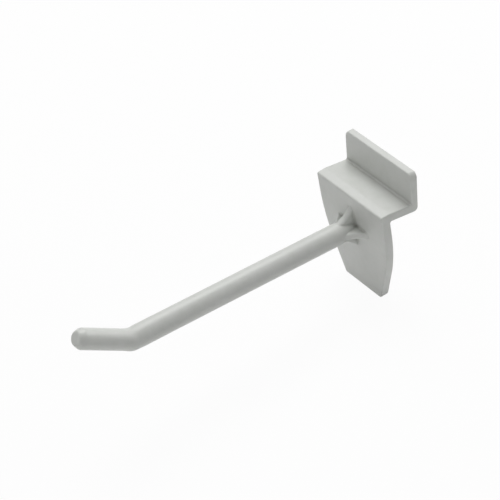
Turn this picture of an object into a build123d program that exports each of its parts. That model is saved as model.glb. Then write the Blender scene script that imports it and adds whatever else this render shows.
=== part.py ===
"""A moulded slatwall hook: a shield-shaped plate, a hooked ledge behind it and a round arm in front.

Millimetres. +Z is up, the arm points along -Y and the panel is on the +Y side. The origin is on
the plate's flat back, where the arm's centreline meets it.
"""
from math import cos, radians, sin, tan
import os

from build123d import *

# Plate: flat, with straight shoulders that curve into tapered sides
plate_width = 33.0
plate_height = 37.5
plate_thickness = 3.2
foot_width = 18.2            # straight bottom edge
shoulder_height = 17.0       # top edge down to where the shoulder and taper lines would cross
side_radius = 57.0           # long curve between the two
foot_corner_radius = 1.0

# Ledge and upstand lip, which hook behind the panel's slat
ledge_slope = 10.0           # degrees, down towards the back
ledge_thickness = 3.1
slat_gap = 8.5               # back of the plate to the front of the lip
lip_height = 11.0            # above the ledge's inner corner
lip_thickness = 2.6
lip_lean = 6.0               # degrees, back from upright
lip_corner_radius = 2.2      # the lip's two top corners, seen from the front
heel_radius = 1.5            # outer corner under the lip
crease_radius = 6.0          # shallow crease where the ledge starts down

# Arm and its upturned tip
arm_drop = 12.8              # plate's top edge down to the arm's centreline, at the back
arm_tilt = 5.0               # degrees above level
arm_diameter = 7.2
arm_run = 83.8               # plate's front to the middle of the bend
neck_length = 7.4            # plate's front to where the bar has its full thickness
neck_diameter = 1.6          # where the bar starts, halfway through the plate
bend_angle = 31.5            # degrees
bend_radius = 4.0            # centreline
tip_diameter = 6.5
tip_run = 21.0               # middle of the bend to the end
tip_rim_radius = 2.9

# Gussets, four thin ribs round the arm's root
gusset_count = 4
gusset_reach = 8.1           # from the arm's centreline, on the plate's face
gusset_length = 6.9          # along the arm
gusset_flare = 3.5           # how much further out the hollow crest ends, halfway through the plate
gusset_thickness = 1.7
gusset_crest_radius = 0.75
gusset_toe_depth = 0.3       # how far the low end runs into the arm

# Moulded edges
edge_radius = 0.45
inner_radius = 0.6
root_radius = 0.3            # creases where the plate, the bar and the gussets meet

plate_top = arm_drop
plate_foot = plate_top - plate_height
arm_radius = arm_diameter / 2
tip_radius = tip_diameter / 2

# Corners of the ledge and lip, seen from the side as (y, z)
ledge_fall = tan(radians(ledge_slope))
lip_set = tan(radians(lip_lean))
ledge_underside = plate_top - ledge_thickness / cos(radians(ledge_slope))
crease = (0, plate_top)
armpit = (0, ledge_underside)
front_edge = (-plate_thickness, plate_top)
inner_corner = Vector(slat_gap, plate_top - slat_gap * ledge_fall)
lip_front = inner_corner + Vector(lip_height * lip_set, lip_height)
lip_back = lip_front + Vector(cos(radians(lip_lean)), -sin(radians(lip_lean))) * lip_thickness
heel_y = (lip_back.X + (ledge_underside - lip_back.Y) * lip_set) / (1 + ledge_fall * lip_set)
heel = Vector(heel_y, ledge_underside - heel_y * ledge_fall)

# Bracket: one bent profile from the side, trimmed to the outline from the front
with BuildPart() as bracket:
    with BuildSketch(Plane.YZ) as side_profile:
        with BuildLine():
            Polyline(
                (-plate_thickness, plate_foot),
                front_edge,
                crease,
                inner_corner,
                lip_front,
                lip_back,
                heel,
                armpit,
                (0, plate_foot),
                close=True,
            )
        make_face()
        for corner, radius in (
            (front_edge, inner_radius),
            (crease, crease_radius),
            (inner_corner, inner_radius),
            (armpit, inner_radius),
            (heel, heel_radius),
        ):
            fillet(side_profile.vertices().sort_by_distance(corner)[0], radius)
    extrude(amount=plate_width / 2, both=True)

    with BuildSketch(Plane.XZ) as front_outline:
        with BuildLine():
            Polyline(
                (-foot_width / 2, plate_foot),
                (foot_width / 2, plate_foot),
                (plate_width / 2, plate_top - shoulder_height),
                (plate_width / 2, lip_front.Y),
                (-plate_width / 2, lip_front.Y),
                (-plate_width / 2, plate_top - shoulder_height),
                close=True,
            )
        make_face()
        fillet(front_outline.vertices().group_by(Axis.Y)[1], side_radius)
        fillet(front_outline.vertices().group_by(Axis.Y)[0], foot_corner_radius)
        fillet(front_outline.vertices().group_by(Axis.Y)[-1], lip_corner_radius)
    extrude(amount=plate_thickness + lip_back.X + lip_thickness, both=True, mode=Mode.INTERSECT)

    lip_and_foot = bracket.faces().sort_by(Axis.Z)[-1].edges() + bracket.faces().sort_by(Axis.Z)[0].edges()
    already_smooth = bracket.edges().filter_by(Axis.Y) + bracket.edges().filter_by(Axis.X) - lip_and_foot
    fillet(bracket.edges().filter_by(lambda edge: edge not in already_smooth), edge_radius)

# Arm: a round bar that widens in a curve from inside the plate, a tight bend that slims it, the upturned tip
arm_axis = Plane(origin=(0, 0, 0), x_dir=(1, 0, 0), z_dir=Vector(0, -1, 0).rotate(Axis.X, -arm_tilt))
plate_skip = plate_thickness / cos(radians(arm_tilt))
neck_end = arm_axis.offset(plate_skip + neck_length)
bend_middle = arm_axis.offset(plate_skip + arm_run)
tip_axis = Plane(
    origin=bend_middle.origin,
    x_dir=(1, 0, 0),
    z_dir=arm_axis.z_dir.rotate(Axis.X, -bend_angle),
)
bend_trim = bend_radius * tan(radians(bend_angle / 2))
bend_start = bend_middle.offset(-bend_trim)
bend_end = tip_axis.offset(bend_trim)

with BuildPart() as arm:
    with BuildSketch(Plane(neck_end.origin, x_dir=neck_end.x_dir, z_dir=neck_end.y_dir)):
        with BuildLine():
            neck_start = (neck_diameter / 2, neck_length + plate_skip / 2)
            TangentArc((arm_radius, 0), neck_start, tangent=(0, 1))
            Polyline(neck_start, (0, neck_start[1]), (0, 0), (arm_radius, 0))
        make_face()
    revolve(axis=Axis(arm_axis.origin, arm_axis.z_dir))

    with BuildSketch(neck_end):
        Circle(arm_radius)
    extrude(amount=arm_run - neck_length - bend_trim)

    with BuildLine() as bend_line:
        TangentArc(bend_start.origin, bend_end.origin, tangent=arm_axis.z_dir)
    with BuildSketch(bend_start):
        Circle(arm_radius)
    with BuildSketch(bend_end):
        Circle(tip_radius)
    sweep(path=bend_line.line, multisection=True)

    with BuildSketch(bend_end):
        Circle(tip_radius)
    extrude(amount=tip_run - bend_trim)
    fillet(arm.faces().sort_by(Axis(tip_axis.origin, tip_axis.z_dir))[-1].edges(), tip_rim_radius)

# Gussets: thin ribs whose hollow crests run from the bar out to the plate and end inside it
arm_front = arm_axis.offset(plate_skip).origin

with BuildPart() as gussets:
    for step in range(gusset_count):
        outward = Vector(0, 0, 1).rotate(Axis.Y, 360 / gusset_count * step)
        rib_plane = Plane(origin=arm_front, x_dir=arm_axis.z_dir, z_dir=arm_axis.z_dir.cross(outward))
        crest_foot = rib_plane.to_local_coords(arm_front + outward * gusset_reach)
        toe = Vector(gusset_length, arm_radius - gusset_toe_depth)
        buried_foot = crest_foot + Vector(-plate_skip / 2, gusset_flare)
        with BuildSketch(rib_plane):
            with BuildLine():
                ThreePointArc(toe, crest_foot, buried_foot)
                Polyline(buried_foot, (buried_foot.X, 0), (toe.X, 0), toe)
            make_face()
        extrude(amount=gusset_thickness / 2, both=True)
    fillet(gussets.edges().filter_by(GeomType.CIRCLE), gusset_crest_radius)

# The hook is moulded in one piece, so the creases round the arm's root are blended too
with BuildPart() as slatwall_hook:
    add(bracket.part)
    add(arm.part)
    add(gussets.part)

    root = slatwall_hook.edges().filter_by(lambda edge: (edge.center() - arm_front).length < gusset_reach + 1)
    on_plate = root.filter_by(lambda edge: abs(edge.center().Y + plate_thickness) < 0.01)
    on_bar = root.filter_by(GeomType.CIRCLE, reverse=True) - on_plate
    on_bar = on_bar.filter_by(lambda edge: arm_axis.to_local_coords(edge.center()).Z > plate_skip)
    fillet(on_plate + on_bar, root_radius)
slatwall_hook.part.label = "slatwall_hook"

os.makedirs("parts", exist_ok=True)
export_step(slatwall_hook.part, "parts/slatwall_hook.step")
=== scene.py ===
# Slatwall hook in satin off-white plastic, on a pale table in soft studio light
import bpy
import bmesh
from math import atan2, cos, radians, sin
from mathutils import Matrix, Vector


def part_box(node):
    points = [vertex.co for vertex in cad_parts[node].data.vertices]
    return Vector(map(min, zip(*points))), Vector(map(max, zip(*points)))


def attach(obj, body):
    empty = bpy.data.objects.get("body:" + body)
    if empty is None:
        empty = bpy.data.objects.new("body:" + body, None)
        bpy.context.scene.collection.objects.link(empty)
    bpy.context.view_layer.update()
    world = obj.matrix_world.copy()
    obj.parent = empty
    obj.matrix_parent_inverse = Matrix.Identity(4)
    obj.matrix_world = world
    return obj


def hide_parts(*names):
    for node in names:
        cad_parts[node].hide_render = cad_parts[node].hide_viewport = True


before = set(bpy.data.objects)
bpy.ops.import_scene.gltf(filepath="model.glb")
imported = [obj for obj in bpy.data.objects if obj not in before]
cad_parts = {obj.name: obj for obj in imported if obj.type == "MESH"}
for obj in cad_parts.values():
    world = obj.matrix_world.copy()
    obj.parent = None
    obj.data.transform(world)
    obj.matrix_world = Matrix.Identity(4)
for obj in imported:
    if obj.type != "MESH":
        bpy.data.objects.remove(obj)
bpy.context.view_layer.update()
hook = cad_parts["slatwall_hook"]
print("hook loaded")

# Plastic: one injection-moulded finish all over, so every pattern is faint and runs through the whole part;
# its corners get painted shade
plastic = {
    "deepTone": (0.588, 0.603, 0.572, 1),    # pigment at its thickest
    "mainTone": (0.607, 0.620, 0.592, 1),
    "paleTone": (0.625, 0.635, 0.612, 1),
    "toneStops": (0.38, 0.50, 0.62),         # where the three tones stand on the noise
    "flow": {"scale": 45.0, "detail": 2.0, "roughness": 0.50},       # slow drift of tone
    "flowStretch": (1.0, 0.35, 1.0),         # drawn out along the arm
    "mottle": {"scale": 380.0, "detail": 3.0, "roughness": 0.55},    # blotches of 2 to 3 mm
    "grain": {"scale": 2600.0, "detail": 2.0, "roughness": 0.60},    # fine eroded skin of the mould
    "mottleShare": 0.5,                      # mottling against drift, in the tone
    "paintedShadeTone": (0.300, 0.298, 0.262, 1),  # painted shade: darker and a little warmer in the corners
    "paintedShadeShare": 0.38,                     # share of that painted shade, in a full corner
    "paintedShadeReach": 0.0014,                   # metres
    "paintedShadeOpenness": (0.95, 0.72),          # where a corner starts, and where it is full
    "paintedShadeSamples": 12,
    "satin": (0.38, 0.47),                   # roughness, a little shinier in patches
    "satinNoise": (0.3, 0.7),
    "grainDepth": 0.00003,                   # metres
    "waveDepth": 0.00012,
    "ior": 1.49,
}


def noiseOn(tree, place, n):
    noise = tree.nodes.new("ShaderNodeTexNoise")
    noise.inputs["Scale"].default_value = n["scale"]
    noise.inputs["Detail"].default_value = n["detail"]
    noise.inputs["Roughness"].default_value = n["roughness"]
    tree.links.new(place, noise.inputs["Vector"])
    return noise.outputs["Fac"]


def remapped(tree, value, old, new):
    # carries a value from its old pair of limits to the new pair
    ranged = tree.nodes.new("ShaderNodeMapRange")
    ranged.inputs["From Min"].default_value = old[0]
    ranged.inputs["From Max"].default_value = old[1]
    ranged.inputs["To Min"].default_value = new[0]
    ranged.inputs["To Max"].default_value = new[1]
    tree.links.new(value, ranged.inputs["Value"])
    return ranged.outputs["Result"]


def bumpOn(tree, height, depth):
    bump = tree.nodes.new("ShaderNodeBump")
    bump.inputs["Strength"].default_value = 1.0
    bump.inputs["Distance"].default_value = depth
    tree.links.new(height, bump.inputs["Height"])
    return bump


def makePlastic(p):
    mat = bpy.data.materials.new("satinPlastic")
    mat.use_nodes = True
    tree = mat.node_tree
    nodes = tree.nodes
    links = tree.links
    shader = nodes["Principled BSDF"]
    shader.inputs["IOR"].default_value = p["ior"]

    coord = nodes.new("ShaderNodeTexCoord")
    along = nodes.new("ShaderNodeMapping")
    along.inputs["Scale"].default_value = p["flowStretch"]
    links.new(coord.outputs["Object"], along.inputs["Vector"])
    flow = noiseOn(tree, along.outputs["Vector"], p["flow"])
    mottle = noiseOn(tree, coord.outputs["Object"], p["mottle"])
    grain = noiseOn(tree, coord.outputs["Object"], p["grain"])

    # tone: slow drift and mottling together
    blend = nodes.new("ShaderNodeMix")
    blend.data_type = "FLOAT"
    blend.inputs["Factor"].default_value = p["mottleShare"]
    links.new(flow, blend.inputs["A"])
    links.new(mottle, blend.inputs["B"])
    tone = nodes.new("ShaderNodeValToRGB")
    deep, main, pale = p["toneStops"]
    tone.color_ramp.elements[0].position = deep
    tone.color_ramp.elements[0].color = p["deepTone"]
    tone.color_ramp.elements[1].position = pale
    tone.color_ramp.elements[1].color = p["paleTone"]
    middle = tone.color_ramp.elements.new(main)
    middle.color = p["mainTone"]
    links.new(blend.outputs["Result"], tone.inputs["Fac"])

    # corners: painted shade in the base colour, darker where walls meet; the nook gives 1 in the open and
    # less where walls meet
    nook = nodes.new("ShaderNodeAmbientOcclusion")
    nook.samples = p["paintedShadeSamples"]
    nook.only_local = True
    nook.inputs["Distance"].default_value = p["paintedShadeReach"]
    paintedShadeFactor = remapped(tree, nook.outputs["AO"], p["paintedShadeOpenness"], (0.0, p["paintedShadeShare"]))
    paintedShadeMix = nodes.new("ShaderNodeMix")
    paintedShadeMix.data_type = "RGBA"
    paintedShadeMix.inputs["B"].default_value = p["paintedShadeTone"]
    links.new(paintedShadeFactor, paintedShadeMix.inputs["Factor"])
    links.new(tone.outputs["Color"], paintedShadeMix.inputs["A"])
    # the base colour carries the painted shade of the corners
    links.new(paintedShadeMix.outputs["Result"], shader.inputs["Base Color"])

    satin = remapped(tree, mottle, p["satinNoise"], p["satin"])
    links.new(satin, shader.inputs["Roughness"])

    # skin: slow waves of the cooled wall under the fine grain
    wave = bumpOn(tree, flow, p["waveDepth"])
    skin = bumpOn(tree, grain, p["grainDepth"])
    links.new(wave.outputs["Normal"], skin.inputs["Normal"])
    links.new(skin.outputs["Normal"], shader.inputs["Normal"])
    return mat


satinPlastic = makePlastic(plastic)
hook.data.materials.clear()
hook.data.materials.append(satinPlastic)
print("plastic made")

# Hook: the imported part's own mesh, with broader ribs at the arm's root. The bar is cut before its bend and
# carried on by a mitred bend and a blunt nose. Metres and degrees.
moulding = {
    "mergeWithin": 0.000001,
    "tilt": 5.0,                             # the arm's, above level
    "plateSkip": 0.0032122,                  # along the arm, from its start to the plate's front
    "ribsFrom": -0.0012,                     # along the arm, from the plate's front
    "ribsFade": 0.0050,
    "ribsEnd": 0.0073,
    "ribsReach": 0.0105,                     # out from the arm's middle
    "ribsFullTo": 16.0,                      # from a rib's middle
    "ribStep": 90.0,                         # from rib to rib
    "ribsSpread": 0.4,
    "cutAt": 0.0700,                         # along the arm, from the plate's front
    "cutSlack": 0.0000001,
    "bendAt": 0.0834,
    "bendAngle": 30.4,
    "tipReach": 0.0205,                      # from the bend to the nose's flat end
    "cutRadius": 0.0036,
    "barRadius": 0.00364,                    # just before the bend
    "bendRadius": 0.0035,                    # the bar's own radius where it turns
    "tipRadius": 0.00333,
    "slimming": 0.0030,                      # from the bend, each way
    "noseLength": 0.0019,
    "noseRadius": 0.0022,
    "bendSoftness": 0.0010,
    "noseSoftness": 0.0005,
    "softSteps": 4,
    "sharpFrom": 38.0,
}


def fade(value, full, none):
    # 1 up to full, 0 from none on, eased between
    share = min(max((none - value) / (none - full), 0), 1)
    return share * share * (3 - 2 * share)


def armWay(degrees):
    return Vector((0, -cos(radians(degrees)), sin(radians(degrees))))


def widenRibs(bm, m):
    # turns each side of a rib round the arm, away from the rib's middle, and leaves the plate flat
    arm = armWay(m["tilt"])
    start = arm * m["plateSkip"]
    right = Vector((1, 0, 0))
    up = arm.cross(right)
    step = radians(m["ribStep"])
    for v in bm.verts:
        off = v.co - start
        along = off.dot(arm)
        out = off - arm * along
        if along < m["ribsFrom"] or along > m["ribsEnd"] or out.length > m["ribsReach"]:
            continue
        angle = atan2(out.dot(up), out.dot(right))
        fromRib = angle - step * round(angle / step)
        share = fade(abs(fromRib), radians(m["ribsFullTo"]), step / 2)
        share *= fade(along, m["ribsFade"], m["ribsEnd"])
        turn = Matrix.Rotation(fromRib * m["ribsSpread"] * share, 3, right.cross(up))
        moved = start + arm * along + turn @ out
        v.co = moved - arm * ((moved.y - v.co.y) / arm.y)


def ringOn(bm, edges, point, way, onto, radius):
    # carries a loop on along way to the plane through point that faces onto, at this radius round way
    made = bmesh.ops.extrude_edge_only(bm, edges=edges)["geom"]
    verts = [v for v in made if isinstance(v, bmesh.types.BMVert)]
    for v in verts:
        off = v.co - point
        off -= way * off.dot(way)
        off = off.normalized() * radius
        v.co = point + off - way * (off.dot(onto) / way.dot(onto))
    return [e for e in made if isinstance(e, bmesh.types.BMEdge)]


def soften(bm, ring, softness, steps):
    bmesh.ops.bevel(
        bm,
        geom=ring,
        offset=softness,
        segments=steps,
        profile=0.5,
        affect="EDGES",
        material=-1,
    )


def makeHook(m):
    bm = bmesh.new()
    bm.from_mesh(hook.data)
    bmesh.ops.remove_doubles(bm, verts=bm.verts, dist=m["mergeWithin"])
    widenRibs(bm, m)

    # the bar's cut end, drawn back to a true circle
    arm = armWay(m["tilt"])
    tip = armWay(m["tilt"] + m["bendAngle"])
    cut = arm * (m["plateSkip"] + m["cutAt"])
    bmesh.ops.bisect_plane(
        bm,
        geom=bm.verts[:] + bm.edges[:] + bm.faces[:],
        dist=m["cutSlack"],
        plane_co=cut,
        plane_no=arm,
        clear_outer=True,
    )
    rim = [e for e in bm.edges if e.is_boundary]
    for v in {v for e in rim for v in e.verts}:
        v.co = cut + (v.co - cut).normalized() * m["cutRadius"]

    # bend and tip, ring by ring, then the nose's flat end
    bend = arm * (m["plateSkip"] + m["bendAt"])
    nose = bend + tip * m["tipReach"]
    before = ringOn(bm, rim, bend - arm * m["slimming"], arm, arm, m["barRadius"])
    mitre = ringOn(bm, before, bend, arm, (arm + tip).normalized(), m["bendRadius"])
    after = ringOn(bm, mitre, bend + tip * m["slimming"], tip, tip, m["tipRadius"])
    shoulder = ringOn(bm, after, nose - tip * m["noseLength"], tip, tip, m["tipRadius"])
    end = ringOn(bm, shoulder, nose, tip, tip, m["noseRadius"])
    bmesh.ops.edgeloop_fill(bm, edges=end)
    soften(bm, mitre, m["bendSoftness"], m["softSteps"])
    soften(bm, shoulder, m["noseSoftness"], m["softSteps"])
    soften(bm, end, m["noseSoftness"], m["softSteps"])
    bmesh.ops.recalc_face_normals(bm, faces=bm.faces)

    mesh = bpy.data.meshes.new("mouldedHook")
    bm.to_mesh(mesh)
    bm.free()
    mesh.shade_smooth()
    mesh.set_sharp_from_angle(angle=radians(m["sharpFrom"]))
    mesh.materials.append(satinPlastic)
    obj = bpy.data.objects.new("mouldedHook", mesh)
    bpy.context.scene.collection.objects.link(obj)
    even = obj.modifiers.new("evenNormals", "WEIGHTED_NORMAL")
    even.keep_sharp = True
    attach(obj, "root")
    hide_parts("slatwall_hook")
    return obj


mouldedHook = makeHook(moulding)
print("hook shaped:", len(mouldedHook.data.polygons), "faces")

# Table: matt white, seen almost as plain white, with a trace of the hook's shadow on it
table = {
    "halfWidth": 3.0,
    "colour": (0.8, 0.8, 0.8, 1),
    "roughness": 0.9,
    "plainWhite": 0.95,                      # share of what the camera sees that is plain white
}


def seenDirectly(tree, share):
    # 0 for the light on the hook, share for what the camera, a reflection or a clear part sees
    nodes = tree.nodes
    links = tree.links
    path = nodes.new("ShaderNodeLightPath")
    total = path.outputs["Is Camera Ray"]
    for ray in ("Is Glossy Ray", "Is Transmission Ray"):
        either = nodes.new("ShaderNodeMath")
        either.operation = "MAXIMUM"
        links.new(total, either.inputs[0])
        links.new(path.outputs[ray], either.inputs[1])
        total = either.outputs["Value"]
    scaled = nodes.new("ShaderNodeMath")
    scaled.operation = "MULTIPLY"
    scaled.inputs[1].default_value = share
    links.new(total, scaled.inputs[0])
    return scaled.outputs["Value"]


def makeTableWhite(t):
    mat = bpy.data.materials.new("tableWhite")
    mat.use_nodes = True
    nodes = mat.node_tree.nodes
    links = mat.node_tree.links
    matt = nodes["Principled BSDF"]
    matt.inputs["Base Color"].default_value = t["colour"]
    matt.inputs["Roughness"].default_value = t["roughness"]
    plain = nodes.new("ShaderNodeEmission")
    plain.inputs["Color"].default_value = (1, 1, 1, 1)
    plain.inputs["Strength"].default_value = 1.0
    mix = nodes.new("ShaderNodeMixShader")
    links.new(seenDirectly(mat.node_tree, t["plainWhite"]), mix.inputs["Fac"])
    links.new(matt.outputs["BSDF"], mix.inputs[1])
    links.new(plain.outputs["Emission"], mix.inputs[2])

    # seen from below, the table lets the hook show through
    side = nodes.new("ShaderNodeNewGeometry")
    clear = nodes.new("ShaderNodeBsdfTransparent")
    oneSided = nodes.new("ShaderNodeMixShader")
    links.new(side.outputs["Backfacing"], oneSided.inputs["Fac"])
    links.new(mix.outputs["Shader"], oneSided.inputs[1])
    links.new(clear.outputs["BSDF"], oneSided.inputs[2])
    links.new(oneSided.outputs["Shader"], nodes["Material Output"].inputs["Surface"])
    return mat


def makeTable(t):
    bm = bmesh.new()
    bmesh.ops.create_grid(bm, x_segments=1, y_segments=1, size=t["halfWidth"])
    bmesh.ops.translate(bm, verts=bm.verts, vec=(0, 0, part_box("slatwall_hook")[0].z))
    mesh = bpy.data.meshes.new("table")
    bm.to_mesh(mesh)
    bm.free()
    mesh.materials.append(makeTableWhite(t))
    obj = bpy.data.objects.new("table", mesh)
    bpy.context.scene.collection.objects.link(obj)
    return obj


makeTable(table)
print("table set")

# Studio: a white room and soft boxes, placed by degrees round from the plate's front and up from level
studio = {
    "aim": (0, -0.03, 0),
    "distance": 0.8,
    "boxSize": 0.5,
    "roomLight": 0.107,
    "boxes": {
        "keyBox": {"azimuth": 230, "elevation": 60, "watts": 4.94},
        "topFillBox": {"azimuth": 315, "elevation": 60, "watts": 0.50},
        "lowFrontBox": {"azimuth": 0, "elevation": 12, "watts": 1.37},
        "lowRightBox": {"azimuth": 90, "elevation": 12, "watts": 0.92},
        "lowBackBox": {"azimuth": 180, "elevation": 12, "watts": 2.09},
    },
}


def wayFrom(azimuth, elevation):
    level = cos(radians(elevation))
    return Vector((level * sin(radians(azimuth)), -level * cos(radians(azimuth)), sin(radians(elevation))))


def makeSoftBox(name, box, s):
    data = bpy.data.lights.new(name, "AREA")
    data.shape = "SQUARE"
    data.size = s["boxSize"]
    data.energy = box["watts"]
    lamp = bpy.data.objects.new(name, data)
    bpy.context.scene.collection.objects.link(lamp)
    way = wayFrom(box["azimuth"], box["elevation"])
    lamp.location = Vector(s["aim"]) + way * s["distance"]
    lamp.rotation_euler = way.to_track_quat("Z", "Y").to_euler()


def makeRoom(s):
    world = bpy.data.worlds.new("whiteRoom")
    bpy.context.scene.world = world
    world.use_nodes = True
    nodes = world.node_tree.nodes
    links = world.node_tree.links
    light = nodes["Background"]
    light.inputs["Color"].default_value = (1, 1, 1, 1)
    light.inputs["Strength"].default_value = s["roomLight"]
    plain = nodes.new("ShaderNodeBackground")
    plain.inputs["Color"].default_value = (1, 1, 1, 1)
    plain.inputs["Strength"].default_value = 1.0
    mix = nodes.new("ShaderNodeMixShader")
    links.new(seenDirectly(world.node_tree, 1.0), mix.inputs["Fac"])
    links.new(light.outputs["Background"], mix.inputs[1])
    links.new(plain.outputs["Background"], mix.inputs[2])
    links.new(mix.outputs["Shader"], nodes["World Output"].inputs["Surface"])


makeRoom(studio)
for name, box in studio["boxes"].items():
    makeSoftBox(name, box, studio)
print("studio lit")

# Camera: a long lens above the arm's right side, turned a little on its axis
camera = {
    "azimuth": 62.2251,                      # degrees round from straight in front of the plate
    "elevation": 40.1649,
    "roll": -11.9655,
    "distance": 0.64682,
    "target": (-0.010414, -0.035316, 0.004218),
    "lens": 150.217,                         # millimetres on a 36 mm frame
    "sensor": 36.0,
    "nearest": 0.01,
}


def placeCamera(c):
    data = bpy.data.cameras.new("camera")
    data.lens = c["lens"]
    data.sensor_width = c["sensor"]
    data.clip_start = c["nearest"]
    cam = bpy.data.objects.new("camera", data)
    bpy.context.scene.collection.objects.link(cam)
    turn = Matrix.Rotation(radians(c["azimuth"]), 4, "Z")
    tip = Matrix.Rotation(radians(90 - c["elevation"]), 4, "X")
    roll = Matrix.Rotation(radians(c["roll"]), 4, "Z")
    back = Matrix.Translation((0, 0, c["distance"]))
    cam.matrix_world = Matrix.Translation(Vector(c["target"])) @ turn @ tip @ roll @ back
    bpy.context.scene.camera = cam


placeCamera(camera)
bpy.context.scene.view_settings.view_transform = "Standard"
print("camera placed")
